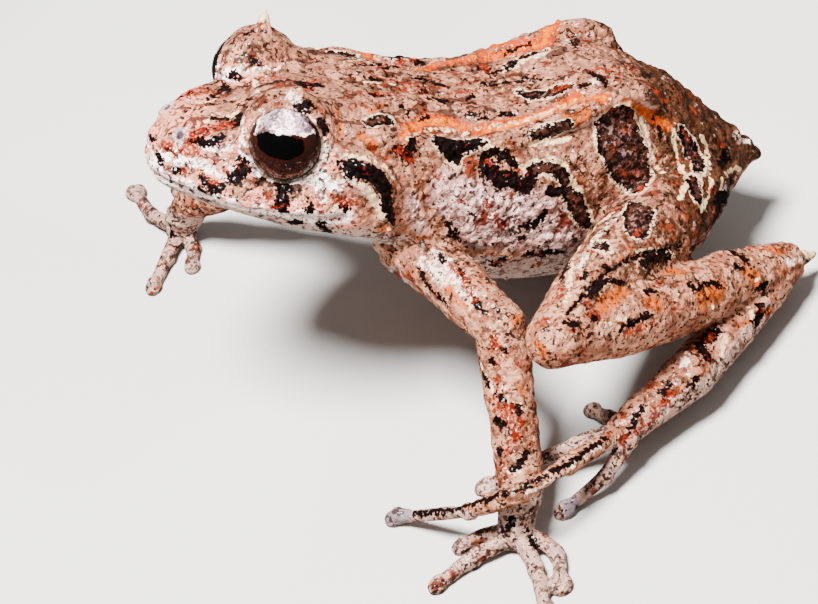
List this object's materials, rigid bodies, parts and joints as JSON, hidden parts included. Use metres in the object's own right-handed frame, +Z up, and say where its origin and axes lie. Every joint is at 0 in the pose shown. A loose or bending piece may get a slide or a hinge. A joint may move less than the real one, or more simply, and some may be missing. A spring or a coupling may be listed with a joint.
{
  "type": "frog",
  "caption": "Life-size still model of a small rain frog sitting alert on its hands and feet, its head raised.",
  "frame": {"origin": "centre of the footprint at the level of the soles", "axes": "-X is the way the frog faces, -Y is its left side, +Z up from the floor"},
  "size_m": [0.0268, 0.0352, 0.0167],
  "materials": {
    "skin": "moist granular amphibian skin, pinkish grey-brown with dark cream-edged blotches and orange-red stripes",
    "eye": "clear wet cornea over a silvery pink and dark red-brown iris with a horizontal black pupil"
  },
  "bodies": {
    "root": {"head": "skin", "torso": "skin", "eye_left": "eye", "eye_right": "eye", "upper_arm_left": "skin", "forearm_left": "skin", "hand_left": "skin", "upper_arm_right": "skin", "forearm_right": "skin", "hand_right": "skin", "thigh_left": "skin", "shank_left": "skin", "tarsus_left": "skin", "foot_left": "skin", "thigh_right": "skin", "shank_right": "skin", "tarsus_right": "skin", "foot_right": "skin"}
  },
  "joints": []
}
